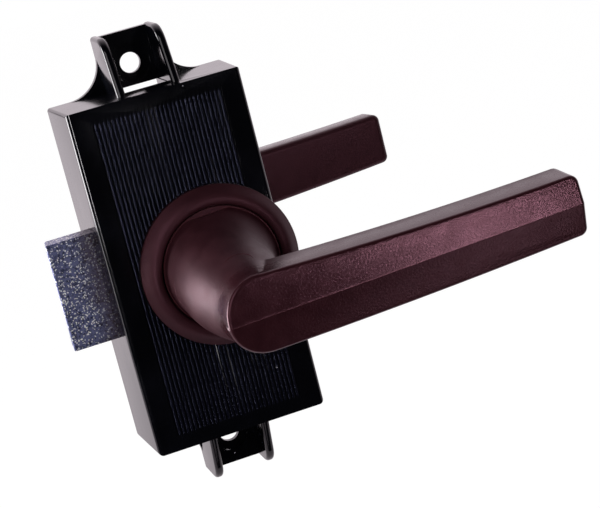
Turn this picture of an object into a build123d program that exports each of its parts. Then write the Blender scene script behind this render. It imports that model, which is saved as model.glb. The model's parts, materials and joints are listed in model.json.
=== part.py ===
# Rim lock for a toilet door: a black moulded case on the near door face, with a sliding latch bolt,
# and a brown lever handle on each side of the door, joined by one square spindle.
# Millimetres. +X runs from the spindle towards the lever tips, +Z is up and +Y goes into the door.
# The origin is midway between the two fixing screws, on the case's door face.
from build123d import *
import math
import os

# Case body
CASE_W = 55.0
CASE_H = 110.0
CASE_D = 27.0
CASE_DRAFT = 1.2
CASE_WALL = 2.2
CASE_EDGE_R = 1.6
CASE_TOP_R = 1.0
CASE_FOOT_R = 1.6
PANEL_W = 42.0
PANEL_H = 100.0
RIB_PITCH = 1.35
RIB_GAP = 0.55
RIB_DEPTH = 0.5
CUT_PAST = 1.0

# Fixing lugs
SCREW_SPACING = 124.0
SCREW_HOLE_R = 3.25
SCREW_SEAT_R = 6.2
SCREW_SEAT_DEPTH = 0.6
LUG_W = 20.0
LUG_FLANGE_T = 2.7
LUG_ROUND_R = 1.1
LUG_REACH = 10.3
LUG_PLATE_T = 2.5
LUG_FLANGE_PROUD = 0.3
LUG_FOOT_D = 22.0
LUG_END_D = 15.5
LUG_END_R = 7.5
LUG_FLARE_R = 11.5
LUG_FLARE_T = 2.2
LUG_SLOT_W = 14.0
LUG_SLOT_D = 14.5

# Spindle line, roses and levers
SPINDLE_X = 6.3
SPINDLE_Z = -2.0
SPINDLE_SQUARE = 8.0
SPINDLE_EDGE = 0.6
SQUARE_CLEAR = 0.05
DOOR_T = 68.0
ROSE_R = 25.0
ROSE_H = 4.9
ROSE_FLOOR_T = 2.2
ROSE_CREST_R = 20.2
ROSE_DISH_R = 18.9
ROSE_DISH_H = 3.4
ROSE_SIDE_H = 1.5
ROSE_SIDE_PULL = 2.2
ROSE_CREST_PULL = 1.8
ROSE_SCREW_SPACING = 28.0
ROSE_SCREW_R = 1.5
ROSE_SCREW_HEAD_R = 2.9
ROSE_SCREW_LENGTH = 5.8
ROSE_BOSS_R = 2.8
ROSE_BOSS_H = 2.4
FLANGE_R = 18.5
FLANGE_T = 1.2
SPIGOT_R = 8.0
BUSHING_WALL = 2.4
NECK_ROOT_R = 18.2
NECK_ASIDE = 1.6
NECK_ASIDE_DROP = 0.6
NECK_BELL_R = 16.6
NECK_BELL_AT = 0.10
NECK_MID_R = 15.2
NECK_MID_AT = 0.36
NECK_PALM_R = 13.2
NECK_PALM_AT = 0.66
GRIP_NEAR = 36.0
GRIP_FAR = 50.0
GRIP_CREST = 2.6
GRIP_CREST_LOW = 1.3
GRIP_CREST_RISE = 1.0
GRIP_END_R = 11.65
GRIP_END_BACK = 0.8
GRIP_END_DROP = 5.3
GRIP_LEAN = 0.8
GRIP_TIP = 100.0
GRIP_TIP_RISE = 6.8
GRIP_TIP_HEIGHT = 18.8
GRIP_SAG_TOP = 0.9
GRIP_SAG_LOW = 0.6
GRIP_CORNER_R = 2.5
GRIP_BACK_R = 2.2
GRIP_FACE_R = 1.2
GRIP_CREASE_R = 2.2
SOCKET_DEPTH = 28.0
SOCKET_END_GAP = 0.4
GRUB_R = 2.5
GRUB_LENGTH = 6.0
GRUB_FROM_CASE = 10.0

# Back plate and its screws
PLATE_T = 2.0
PLATE_GAP = 0.25
PLATE_NOTCH = 3.4
POST_R = 3.5
POST_IN_X = 7.2
POST_IN_Z = 9.2
PLATE_SCREW_R = 1.25
PLATE_SCREW_HEAD_R = 2.5
PLATE_SCREW_LENGTH = 12.0

# Latch bolt, tail plate and guides
BOLT_H = 34.0
BOLT_Z = 1.0
BOLT_T = 7.5
BOLT_FRONT_GAP = 2.8
BOLT_REACH = 15.8
BOLT_END_GAP = 0.4
BOLT_TIP_SLANT = 0.9
BOLT_EDGE_R = 0.5
SLIDE_GAP = 0.2
TAIL_T = 2.0
TAIL_UPPER = 24.0
TAIL_LOWER_REACH = 20.0
TAIL_TAB_T = 2.5
TAIL_TAB_DEPTH = 5.7
TAIL_TAB_BELOW = 2.5
HUB_SIDE_GAP = 0.4
RIVET_R = 1.5
RIVET_HEAD_R = 2.6
RIVET_HEAD_T = 0.7
RIVET_DEPTH = 5.0
RIVET_SPACING = 14.0
RIVET_DROP = 3.0
GUIDE_H = 5.0
GUIDE_LENGTH = 13.0
GUIDE_PEG_R = 1.2
GUIDE_PEG_H = 4.0

# Follower, its bearings and stops
FOLLOWER_ANGLE = 45.0
FOLLOWER_R = 8.0
FOLLOWER_END_GAP = 0.4
CAM_T = 4.0
CAM_R = 10.5
CAM_GAP = 1.0
ARM_R = 20.25
ARM_TIP_R = 3.2
ARM_HALF_W = 1.8
ARM_ROOT_HALF_W = 4.0
ARM_NARROW_AT = 11.0
LOWER_ARM_R = 15.0
LOWER_TIP_R = 3.0
BUSH_WALL = 2.0
BUSH_FLANGE_W = 3.0
BUSH_FLANGE_T = 1.5
SPACER_R = 10.5
RUN_CLEAR = 0.05
FIT_GAP = 0.03
STOP_PIN_R = 1.5
STOP_RADIUS = 12.6
SIDE_GAP = 0.3

# Springs
BOLT_SPRING_R = 2.4
BOLT_SPRING_WIRE = 0.7
BOLT_SPRING_ABOVE = 14.0
BOLT_SPRING_TURNS = 16
BOLT_SPRING_SEAT = 7.0
SPRING_RIB_IN = 9.5
SPRING_RIB_T = 3.0
SPRING_RIB_HALF_W = 4.0
SPRING_ROD_R = 1.2
SPRING_ROD_CLEAR = 1.5
LEVER_SPRING_R = 2.7
LEVER_SPRING_WIRE = 0.8
LEVER_SPRING_TURNS = 10
SPRING_POST_IN = 6.5
SPRING_POST_R = 2.4
SPRING_POST_SHANK_R = 1.5
SPRING_NOSE_R = 1.2
SPRING_NOSE = 4.0

# Places worked out from the sizes above
FRONT_Y = -CASE_D
INNER_Y = FRONT_Y + CASE_WALL
MID_Y = (FRONT_Y + DOOR_T) / 2
INNER_BACK_W = CASE_W + 2 * (CASE_DRAFT - CASE_WALL)
INNER_H = CASE_H - 2 * CASE_WALL
PLATE_Y = -PLATE_T
BOLT_FRONT_Y = INNER_Y + BOLT_FRONT_GAP
BOLT_BACK_Y = BOLT_FRONT_Y + BOLT_T
BOLT_MID_Y = BOLT_FRONT_Y + BOLT_T / 2
BOLT_TIP_X = -CASE_W / 2 - BOLT_REACH
BOLT_TOP_Z = BOLT_Z + BOLT_H / 2
BOLT_LOW_Z = BOLT_Z - BOLT_H / 2
TAIL_BACK_Y = BOLT_BACK_Y + TAIL_T
TAIL_HUB_GAP = FOLLOWER_R + HUB_SIDE_GAP
CAM_FRONT_Y = TAIL_BACK_Y + CAM_GAP
CAM_BACK_Y = CAM_FRONT_Y + CAM_T
CAM_MID_Y = CAM_FRONT_Y + CAM_T / 2
HALF_TURN = FOLLOWER_ANGLE / 2
BOLT_TRAVEL = 2 * ARM_R * math.sin(math.radians(HALF_TURN))
SLOT_END_X = SPINDLE_X - TAIL_HUB_GAP - BOLT_TRAVEL
BOLT_REAR_X = SLOT_END_X - BOLT_END_GAP
BUSH_BORE_R = FOLLOWER_R + RUN_CLEAR
BUSH_R = BUSH_BORE_R + BUSH_WALL
BUSHING_BORE_R = SPIGOT_R + RUN_CLEAR
BUSHING_R = BUSHING_BORE_R + BUSHING_WALL
ROSE_FACE_Y = FRONT_Y - ROSE_FLOOR_T
FLANGE_Y = ROSE_FACE_Y - SIDE_GAP
SOCKET_END_Y = FLANGE_Y - SOCKET_DEPTH
GRUB_Y = FRONT_Y - GRUB_FROM_CASE
SPRING_Z = SPINDLE_Z + BOLT_SPRING_ABOVE
SPRING_RIB_X = CASE_W / 2 - SPRING_RIB_IN
SPRING_POST_X = SPRING_POST_IN - CASE_W / 2


def block(x0, x1, y0, y1, z0, z1):
    """Box between two corners."""
    middle = Pos((x0 + x1) / 2, (y0 + y1) / 2, (z0 + z1) / 2)
    return middle * Box(x1 - x0, y1 - y0, z1 - z0)


def rod(radius, y0, y1, x=SPINDLE_X, z=SPINDLE_Z):
    """Round bar along Y, on the spindle line unless another place is given."""
    return Pos(x, (y0 + y1) / 2, z) * Rot(90, 0, 0) * Cylinder(radius, y1 - y0)


def bar(radius, x0, x1, y, z):
    """Round bar along X."""
    return Pos((x0 + x1) / 2, y, z) * Rot(0, 90, 0) * Cylinder(radius, x1 - x0)


def ring(outer, inner, y0, y1):
    """Plain ring on the spindle line."""
    return rod(outer, y0, y1) - rod(inner, y0, y1)


def facing(y):
    """Plane that faces the room at depth y, with X across and Z up."""
    return Plane(origin=(0, y, 0), x_dir=(1, 0, 0), z_dir=(0, -1, 0))


def slab(face, y0, y1):
    """Flat piece between y0 and y1 from a face drawn in X and Z."""
    return extrude(facing(y1) * face, y1 - y0)


def polygon(*points):
    """Face with straight sides."""
    return make_face(Polyline(*points, close=True))


def countersunk(radius, head_r, length, y, x, z):
    """Screw along +Y whose flat head is flush with y."""
    head = Pos(x, y + (head_r - radius) / 2, z) * Rot(90, 0, 0) * Cone(radius, head_r, head_r - radius)
    return head + rod(radius, y, y + length, x, z)


def swung(radius, angle, aside=0.0):
    """Place at a radius from the spindle, on an arm at an angle from straight up towards +X."""
    turn = math.radians(angle)
    x = SPINDLE_X + radius * math.sin(turn) + aside * math.cos(turn)
    z = SPINDLE_Z + radius * math.cos(turn) - aside * math.sin(turn)
    return x, z


def coil(radius, wire, turns, x0, x1, y, z):
    """Compression spring along X, one unbroken wire, that fills x0 to x1."""
    height = x1 - x0 - wire
    pitch = height / turns
    path = Helix(pitch=pitch, height=height, radius=radius - wire / 2)
    section = Plane(origin=path @ 0, z_dir=path % 0) * Circle(wire / 2)
    print(f"least gap between turns {pitch - wire:.2f} mm")
    return Pos(x0 + wire / 2, y, z) * Rot(0, 90, 0) * sweep(section, path=path)


def far_side(piece):
    """The same piece on the other face of the door."""
    return mirror(piece, Plane(origin=(0, MID_Y, 0), z_dir=(0, 1, 0)))


def other_end(piece):
    """The same piece at the lower end of the case."""
    return mirror(piece, Plane.XY)


def post_places():
    """Places of the four posts that carry the back plate."""
    x = CASE_W / 2 - POST_IN_X
    z = CASE_H / 2 - POST_IN_Z
    return [(side * x, end * z) for side in (-1, 1) for end in (-1, 1)]


def rose_screw_places():
    """Places of the two screw holes in a rose."""
    half = ROSE_SCREW_SPACING / 2
    return [(SPINDLE_X, SPINDLE_Z + half), (SPINDLE_X, SPINDLE_Z - half)]


def tail_start():
    """Left end of the tail plate, just clear of the case's sloping side wall."""
    flare = CASE_DRAFT * (BOLT_BACK_Y - FRONT_Y) / CASE_D
    return CASE_WALL - CASE_W / 2 - flare + SIDE_GAP


def rivet_places():
    """Places of the two rivets that join the tail plate to the bolt."""
    x = (tail_start() + BOLT_REAR_X) / 2
    middle = BOLT_Z - RIVET_DROP
    return [(x, middle + RIVET_SPACING / 2), (x, middle - RIVET_SPACING / 2)]


def stop_places():
    """Places of the two pins that end the follower's turn, one each side of its upper arm."""
    aside = ARM_HALF_W + STOP_PIN_R + SIDE_GAP
    return [swung(STOP_RADIUS, -HALF_TURN, -aside), swung(STOP_RADIUS, HALF_TURN, aside)]


def spring_post_place():
    """Place of the post that holds the lever spring."""
    return SPRING_POST_X, swung(-LOWER_ARM_R, -HALF_TURN)[1]


def guide_spans():
    """Lower and upper end, in Z, of the two bolt guides."""
    top = BOLT_TOP_Z + SLIDE_GAP
    low = BOLT_LOW_Z - SLIDE_GAP
    return [(top, top + GUIDE_H), (low - GUIDE_H, low)]


def flaring_box(width, height, front_y, depth):
    """Box that is width by height at its front, with its two sides flaring towards the door."""
    flare = CASE_DRAFT * depth / CASE_D
    front = width / 2
    back = front + flare
    end_y = front_y + depth
    outline = polygon((-front, front_y), (front, front_y), (back, end_y), (-back, end_y))
    return Pos(0, 0, -height / 2) * extrude(outline, height)


def case_shell():
    """Outside of the case, with its rounded edges, before it is hollowed."""
    box = flaring_box(CASE_W, CASE_H, FRONT_Y, CASE_D)
    depth_edges = box.edges().filter_by(lambda edge: abs((edge % 0.5).Y) > 0.9).sort_by(Axis.Z)
    box = fillet(depth_edges[:2], CASE_FOOT_R)
    depth_edges = box.edges().filter_by(lambda edge: abs((edge % 0.5).Y) > 0.9).sort_by(Axis.Z)
    box = fillet(depth_edges[-2:], CASE_TOP_R)
    half = CASE_W / 2
    flare = half + CASE_DRAFT
    outline = polygon((-half, FRONT_Y), (half, FRONT_Y), (flare, 0), (-flare, 0))
    front_corners = outline.vertices().sort_by(Axis.Y)[:2]
    outline = fillet(front_corners, CASE_EDGE_R)
    length = CASE_H + 2 * CUT_PAST
    return box & Pos(0, 0, -length / 2) * extrude(outline, length)


def rib_grooves():
    """Grooves that leave the fine upright ribs on the case front."""
    count = int(PANEL_W / RIB_PITCH)
    first = -(count - 1) / 2 * RIB_PITCH
    half = RIB_GAP / 2
    floor = FRONT_Y + RIB_DEPTH
    end = PANEL_H / 2
    grooves = []
    for index in range(count):
        x = first + index * RIB_PITCH
        grooves.append(block(x - half, x + half, FRONT_Y - CUT_PAST, floor, -end, end))
    return grooves


def lug_flange(side):
    """One side flange of the top lug: a web that stands forward from the door face."""
    foot = CASE_H / 2 - CASE_WALL / 2
    end = SCREW_SPACING / 2 + LUG_REACH + LUG_FLANGE_PROUD
    plane = Plane(origin=(side * (LUG_W / 2 - LUG_FLANGE_T), 0, 0), x_dir=(0, 1, 0), z_dir=(1, 0, 0))
    outline = polygon((0, foot), (0, end), (-LUG_END_D, end), (-LUG_FOOT_D, foot))
    outline = fillet(outline.vertices().sort_by(Axis.Y)[-2:].sort_by(Axis.X)[0], LUG_END_R)
    flange = extrude(plane * outline, side * LUG_FLANGE_T)
    long_edges = flange.edges().filter_by(Plane.YZ).filter_by(lambda edge: (edge @ 0.5).Y < -LUG_ROUND_R)
    rim = [edge for edge in long_edges if (edge @ 0.5).Z > foot + LUG_ROUND_R]
    return fillet(rim, LUG_ROUND_R)


def lug_flare(side):
    """Thin web in the door plane that spreads one lug flange onto the end of the case."""
    base = CASE_H / 2
    foot = base - CASE_WALL / 2
    inner = LUG_W / 2 - FIT_GAP
    outer = inner + LUG_FLARE_R
    hollow = LUG_FLARE_R * (1 - math.sin(math.pi / 4))
    arc = ThreePointArc((outer, base), (inner + hollow, base + hollow), (inner, base + LUG_FLARE_R))
    sides = Polyline((inner, base + LUG_FLARE_R), (inner, foot), (outer, foot), (outer, base))
    web = extrude(Plane.XZ * make_face([arc, sides]), LUG_FLARE_T)
    if side < 0:
        web = mirror(web, Plane.YZ)
    return web


def lug():
    """Top fixing lug with its screw hole."""
    half = LUG_W / 2 - LUG_FLANGE_T / 2
    middle = SCREW_SPACING / 2
    shape = block(-half, half, -LUG_PLATE_T, 0, CASE_H / 2, middle + LUG_REACH)
    for side in (-1, 1):
        shape += lug_flange(side)
        shape += lug_flare(side)
    shape -= rod(SCREW_HOLE_R, -LUG_PLATE_T - CUT_PAST, CUT_PAST, 0, middle)
    return shape - rod(SCREW_SEAT_R, -LUG_PLATE_T - CUT_PAST, SCREW_SEAT_DEPTH - LUG_PLATE_T, 0, middle)


def lug_slot():
    """Opening at the root of the top lug that looks through to the door."""
    half = LUG_SLOT_W / 2
    low = CASE_H / 2 - CASE_WALL - CUT_PAST
    return block(-half, half, -LUG_SLOT_D, CUT_PAST, low, CASE_H / 2)


def case_body():
    """Moulded box, open to the door, with both lugs, the ribbed front and what stands inside it."""
    growth = CASE_DRAFT * CASE_WALL / CASE_D
    inner_w = CASE_W + 2 * (growth - CASE_WALL)
    shape = case_shell() + lug() + other_end(lug())
    shape -= flaring_box(inner_w, INNER_H, INNER_Y, CASE_D)
    shape -= lug_slot() + other_end(lug_slot())
    for x, z in post_places():
        shape += rod(POST_R, INNER_Y - CASE_WALL / 2, PLATE_Y, x, z)
    for x, z in rose_screw_places():
        shape += rod(ROSE_BOSS_R, INNER_Y - CASE_WALL / 2, INNER_Y + ROSE_BOSS_H, x, z)
    rib_z = (SPRING_Z - SPRING_RIB_HALF_W, SPRING_Z + SPRING_RIB_HALF_W)
    rib_end = SPRING_RIB_X + SPRING_RIB_T
    shape += block(SPRING_RIB_X, rib_end, INNER_Y - CASE_WALL / 2, BOLT_BACK_Y - SIDE_GAP, *rib_z)
    for low, high in guide_spans():
        shape += rod(GUIDE_PEG_R, INNER_Y - CASE_WALL / 2, INNER_Y + GUIDE_PEG_H, guide_x(), (low + high) / 2)
    for x, z in post_places():
        shape -= rod(PLATE_SCREW_R + FIT_GAP, -PLATE_SCREW_LENGTH - SIDE_GAP, 0, x, z)
    for x, z in rose_screw_places():
        shape -= rod(ROSE_SCREW_R + FIT_GAP, FRONT_Y - CUT_PAST, INNER_Y + ROSE_BOSS_H + CUT_PAST, x, z)
    shape -= bar(SPRING_ROD_R + FIT_GAP, SPRING_RIB_X - CUT_PAST, rib_end + CUT_PAST, BOLT_MID_Y, SPRING_Z)
    shape -= rod(BUSH_R + FIT_GAP, FRONT_Y - CUT_PAST, INNER_Y + CUT_PAST)
    shape -= block(-CASE_W, -CASE_W / 2 + 2 * CASE_WALL, BOLT_FRONT_Y - SLIDE_GAP, BOLT_BACK_Y + SLIDE_GAP,
                   BOLT_LOW_Z - SLIDE_GAP, BOLT_TOP_Z + SLIDE_GAP)
    return shape - rib_grooves()


def guide_x():
    """Middle of the bolt guides along X."""
    return -CASE_W / 2 + CASE_WALL + SIDE_GAP + GUIDE_LENGTH / 2


def bolt_guides():
    """Two blocks on the case front wall that the bolt slides between."""
    half = GUIDE_LENGTH / 2
    pieces = []
    hole_end = INNER_Y + GUIDE_PEG_H + SIDE_GAP
    for low, high in guide_spans():
        shape = block(guide_x() - half, guide_x() + half, INNER_Y, TAIL_BACK_Y - SLIDE_GAP, low, high)
        shape -= rod(GUIDE_PEG_R + FIT_GAP, INNER_Y, hole_end, guide_x(), (low + high) / 2)
        pieces.append(shape)
    return pieces


def back_plate():
    """Steel plate that closes the case on the door side."""
    half_w = INNER_BACK_W / 2 - PLATE_GAP
    half_h = INNER_H / 2 - PLATE_GAP
    notch = LUG_SLOT_W / 2 + SLIDE_GAP
    shape = block(-half_w, half_w, PLATE_Y, 0, -half_h, half_h)
    shape -= block(-notch, notch, PLATE_Y, 0, half_h - PLATE_NOTCH, half_h)
    shape -= block(-notch, notch, PLATE_Y, 0, -half_h, PLATE_NOTCH - half_h)
    shape -= rod(BUSH_R + FIT_GAP, PLATE_Y, 0)
    for x, z in post_places():
        head_r = PLATE_SCREW_HEAD_R + FIT_GAP
        shape -= mirror(countersunk(PLATE_SCREW_R + FIT_GAP, head_r, PLATE_T + CUT_PAST, 0, x, z), Plane.XZ)
    for x, z in stop_places():
        shape -= rod(STOP_PIN_R + FIT_GAP, PLATE_Y, 0, x, z)
    x, z = spring_post_place()
    return shape - rod(SPRING_POST_SHANK_R + FIT_GAP, PLATE_Y, 0, x, z)


def plate_screws():
    """Four countersunk screws from the door side into the posts."""
    return [
        mirror(countersunk(PLATE_SCREW_R, PLATE_SCREW_HEAD_R, PLATE_SCREW_LENGTH, 0, x, z), Plane.XZ)
        for x, z in post_places()
    ]


def front_rose():
    """Dished ring on the case front, whose rim rises from a thin lip to a crest beside the dish."""
    crest = (ROSE_CREST_R, -ROSE_H)
    sides = Polyline((ROSE_DISH_R, -ROSE_DISH_H), (ROSE_DISH_R, 0), (ROSE_R, 0), (ROSE_R, -ROSE_SIDE_H))
    slope = Bezier(
        (ROSE_R, -ROSE_SIDE_H),
        (ROSE_R - ROSE_SIDE_PULL, -ROSE_SIDE_H - ROSE_SIDE_PULL),
        (ROSE_CREST_R + ROSE_CREST_PULL, -ROSE_H),
        crest,
    )
    roll = Bezier(crest, (ROSE_DISH_R, -ROSE_H), (ROSE_DISH_R, -ROSE_DISH_H))
    shape = Pos(SPINDLE_X, FRONT_Y, SPINDLE_Z) * revolve(make_face([sides, slope, roll]), Axis.Y, 360)
    shape += ring((ROSE_DISH_R + ROSE_R) / 2, BUSHING_R, ROSE_FACE_Y, FRONT_Y)
    hole_r = ROSE_SCREW_R + FIT_GAP
    head_r = ROSE_SCREW_HEAD_R + FIT_GAP
    for x, z in rose_screw_places():
        shape -= countersunk(hole_r, head_r, ROSE_FLOOR_T + CUT_PAST, ROSE_FACE_Y, x, z)
    return shape


def rose_screws():
    """Two countersunk screws that hold the front rose on the case."""
    return [
        countersunk(ROSE_SCREW_R, ROSE_SCREW_HEAD_R, ROSE_SCREW_LENGTH, ROSE_FACE_Y, x, z)
        for x, z in rose_screw_places()
    ]


def lever_bushings():
    """Nylon ring in each rose that the lever's spigot turns in."""
    front = ring(BUSHING_R - FIT_GAP, BUSHING_BORE_R, ROSE_FACE_Y, FRONT_Y)
    return [front, far_side(front)]


def hub_bush(wall_y0, wall_y1, flange_y0, flange_y1):
    """Flanged bearing of the follower, in one wall of the case."""
    outer = rod(BUSH_R, wall_y0, wall_y1) + rod(BUSH_BORE_R + BUSH_FLANGE_W, flange_y0, flange_y1)
    return outer - rod(BUSH_BORE_R, min(wall_y0, flange_y0), max(wall_y1, flange_y1))


def follower_arm(radius, tip_r, up):
    """Arm of the follower, drawn straight up or down from the spindle line."""
    face = polygon(
        (-ARM_ROOT_HALF_W, up * FOLLOWER_R / 2),
        (-ARM_HALF_W, up * ARM_NARROW_AT),
        (-ARM_HALF_W, up * radius),
        (ARM_HALF_W, up * radius),
        (ARM_HALF_W, up * ARM_NARROW_AT),
        (ARM_ROOT_HALF_W, up * FOLLOWER_R / 2),
    )
    return slab(face, CAM_FRONT_Y, CAM_BACK_Y) + rod(tip_r, CAM_FRONT_Y, CAM_BACK_Y, 0, up * radius)


def follower():
    """Hub on the spindle: its upper arm draws the bolt and its lower arm meets the lever spring."""
    arms = follower_arm(ARM_R, ARM_TIP_R, 1) + follower_arm(LOWER_ARM_R, LOWER_TIP_R, -1)
    arms = Pos(SPINDLE_X, 0, SPINDLE_Z) * Rot(0, -HALF_TURN, 0) * arms
    shape = rod(FOLLOWER_R, FRONT_Y + FOLLOWER_END_GAP, -FOLLOWER_END_GAP)
    shape += rod(CAM_R, CAM_FRONT_Y, CAM_BACK_Y)
    return shape + arms - square_bar(SQUARE_CLEAR, FRONT_Y, 0)


def square_bar(clear, y0, y1):
    """Square bar on the spindle line, larger than the spindle by a clearance all round."""
    half = SPINDLE_SQUARE / 2 + clear
    return block(SPINDLE_X - half, SPINDLE_X + half, y0, y1, SPINDLE_Z - half, SPINDLE_Z + half)


def spindle():
    """Square bar that joins the two levers through the follower and the door."""
    near = SOCKET_END_Y + SOCKET_END_GAP
    shape = square_bar(0, near, 2 * MID_Y - near)
    ends = shape.faces().filter_by(Axis.Y)
    return chamfer(ends.edges(), SPINDLE_EDGE)


def follower_spacer():
    """Ring that fills the space between the cam and the rear bush."""
    return ring(SPACER_R, FOLLOWER_R + SLIDE_GAP, CAM_BACK_Y + SLIDE_GAP, PLATE_Y - BUSH_FLANGE_T - SLIDE_GAP)


def stop_pins():
    """Two pins riveted into the back plate that end the follower's turn."""
    return [rod(STOP_PIN_R, CAM_FRONT_Y, 0, x, z) for x, z in stop_places()]


def latch_bolt():
    """Sintered bolt with an almost square tip, bored at its rear for the bolt spring."""
    outline = polygon(
        (BOLT_TIP_X, BOLT_FRONT_Y),
        (BOLT_REAR_X, BOLT_FRONT_Y),
        (BOLT_REAR_X, BOLT_BACK_Y),
        (BOLT_TIP_X + BOLT_TIP_SLANT, BOLT_BACK_Y),
    )
    shape = Pos(0, 0, BOLT_LOW_Z) * extrude(outline, BOLT_H)
    tip = shape.faces().sort_by(Axis.X)[0]
    shape = fillet(tip.edges(), BOLT_EDGE_R)
    shape -= bar(BOLT_SPRING_R + SLIDE_GAP, BOLT_REAR_X - BOLT_SPRING_SEAT, BOLT_REAR_X, BOLT_MID_Y, SPRING_Z)
    for x, z in rivet_places():
        shape -= rod(RIVET_R + FIT_GAP, BOLT_BACK_Y - RIVET_DEPTH - FIT_GAP, BOLT_BACK_Y, x, z)
    return shape


def tail_plate():
    """Forked plate behind the bolt, with a tab that the follower's upper arm pushes."""
    start = tail_start()
    lower_end = BOLT_REAR_X + TAIL_LOWER_REACH
    tab_x = swung(ARM_R, -HALF_TURN)[0] + ARM_TIP_R + SIDE_GAP
    tab_end = tab_x + TAIL_TAB_T
    top = BOLT_TOP_Z - SLIDE_GAP
    low = BOLT_LOW_Z + SLIDE_GAP
    rise = guide_x() + GUIDE_LENGTH / 2 + 2 * SIDE_GAP
    crown = SPINDLE_Z + TAIL_UPPER
    face = polygon(
        (start, low),
        (lower_end, low),
        (lower_end, SPINDLE_Z - TAIL_HUB_GAP),
        (SLOT_END_X, SPINDLE_Z - TAIL_HUB_GAP),
        (SLOT_END_X, SPINDLE_Z + TAIL_HUB_GAP),
        (tab_end, SPINDLE_Z + TAIL_HUB_GAP),
        (tab_end, crown),
        (rise, crown),
        (rise, top),
        (start, top),
    )
    shape = slab(face, BOLT_BACK_Y, TAIL_BACK_Y)
    tab_low = swung(ARM_R, -HALF_TURN)[1] - TAIL_TAB_BELOW
    shape += block(tab_x, tab_end, BOLT_BACK_Y, TAIL_BACK_Y + TAIL_TAB_DEPTH, tab_low, crown)
    for x, z in rivet_places():
        shape -= rod(RIVET_R + FIT_GAP, BOLT_BACK_Y, TAIL_BACK_Y, x, z)
    return shape


def tail_rivets():
    """Two rivets that join the tail plate to the bolt."""
    return [
        rod(RIVET_R, BOLT_BACK_Y - RIVET_DEPTH, TAIL_BACK_Y, x, z)
        + rod(RIVET_HEAD_R, TAIL_BACK_Y, TAIL_BACK_Y + RIVET_HEAD_T, x, z)
        for x, z in rivet_places()
    ]


def bolt_spring():
    """Compression spring that pushes the bolt out."""
    start = BOLT_REAR_X - BOLT_SPRING_SEAT
    return coil(BOLT_SPRING_R, BOLT_SPRING_WIRE, BOLT_SPRING_TURNS, start + FIT_GAP, SPRING_RIB_X - FIT_GAP,
                BOLT_MID_Y, SPRING_Z)


def spring_rod():
    """Rod inside the bolt spring, pressed into the case rib."""
    start = BOLT_REAR_X + BOLT_TRAVEL - BOLT_SPRING_SEAT + SPRING_ROD_CLEAR
    return bar(SPRING_ROD_R, start, SPRING_RIB_X + SPRING_RIB_T, BOLT_MID_Y, SPRING_Z)


def lever_spring():
    """Compression spring that brings the levers back up."""
    x, z = spring_post_place()
    arm_x = swung(-LOWER_ARM_R, -HALF_TURN)[0] - LOWER_TIP_R
    return coil(LEVER_SPRING_R, LEVER_SPRING_WIRE, LEVER_SPRING_TURNS, x + SPRING_POST_R + SIDE_GAP,
                arm_x - SIDE_GAP, CAM_MID_Y, z)


def spring_post():
    """Post on the back plate with a nose that carries the lever spring."""
    x, z = spring_post_place()
    shape = rod(SPRING_POST_R, TAIL_BACK_Y + SIDE_GAP, PLATE_Y, x, z)
    shape += rod(SPRING_POST_SHANK_R, PLATE_Y, 0, x, z)
    return shape + bar(SPRING_NOSE_R, x, x + SPRING_POST_R + SPRING_NOSE, CAM_MID_Y, z)


def grip_outline(lean=0.0):
    """Grip seen from the front, both edges slightly bowed, moved down by how far it leans at that depth."""
    end_x = SPINDLE_X - GRIP_END_BACK
    end_z = SPINDLE_Z - GRIP_END_DROP - lean
    tip_x = SPINDLE_X + GRIP_TIP
    tip_top = SPINDLE_Z + GRIP_TIP_RISE - lean
    tip_low = tip_top - GRIP_TIP_HEIGHT
    mid_x = (end_x + tip_x) / 2
    top_pull = (end_z + GRIP_END_R + tip_top) / 2 - 2 * GRIP_SAG_TOP
    low_pull = (end_z - GRIP_END_R + tip_low) / 2 - 2 * GRIP_SAG_LOW
    top_start = (end_x, end_z + GRIP_END_R)
    low_start = (end_x, end_z - GRIP_END_R)
    edges = [
        Line(low_start, top_start),
        Bezier(top_start, (mid_x, top_pull), (tip_x, tip_top)),
        Line((tip_x, tip_top), (tip_x, tip_low)),
        Bezier((tip_x, tip_low), (mid_x, low_pull), low_start),
    ]
    face = make_face(edges)
    return fillet(face.vertices().sort_by(Axis.X)[-2:], GRIP_CORNER_R)


def behind_facets():
    """Space behind the grip's two sloping front facets, which meet in the crest."""
    crest = FRONT_Y - GRIP_FAR - GRIP_CREST
    above = 2 * GRIP_END_R
    slope_up = GRIP_CREST / (GRIP_END_R + GRIP_CREST_LOW)
    slope_down = GRIP_CREST / (GRIP_END_R - GRIP_CREST_LOW)
    start_x = SPINDLE_X - GRIP_END_BACK - 2 * GRIP_END_R
    end_x = SPINDLE_X + GRIP_TIP + GRIP_END_R
    middle = SPINDLE_Z - GRIP_LEAN
    start_z = middle - GRIP_END_DROP - GRIP_CREST_LOW
    tip_z = middle + GRIP_TIP_RISE - GRIP_TIP_HEIGHT / 2 + GRIP_CREST_RISE
    sections = []
    for x, z in ((start_x, start_z), (end_x, tip_z)):
        outline = polygon(
            (FRONT_Y, z - above),
            (FRONT_Y, z + above),
            (crest + slope_up * above, z + above),
            (crest, z),
            (crest + slope_down * above, z - above),
        )
        sections.append(Plane(origin=(x, 0, 0), x_dir=(0, 1, 0), z_dir=(1, 0, 0)) * outline)
    return loft(sections, ruled=True)


def facet_rim(shape, root_x):
    """Edges round the two front facets, without the crest between them and what lies at the root."""
    fronts = shape.faces().sort_by(Axis.Y)[:2]
    crest = fronts[0].edges() & fronts[1].edges()
    outer = [edge for edge in fronts.edges() if edge not in crest]
    return [edge for edge in outer if abs(edge.center().X - root_x) > FIT_GAP]


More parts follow.
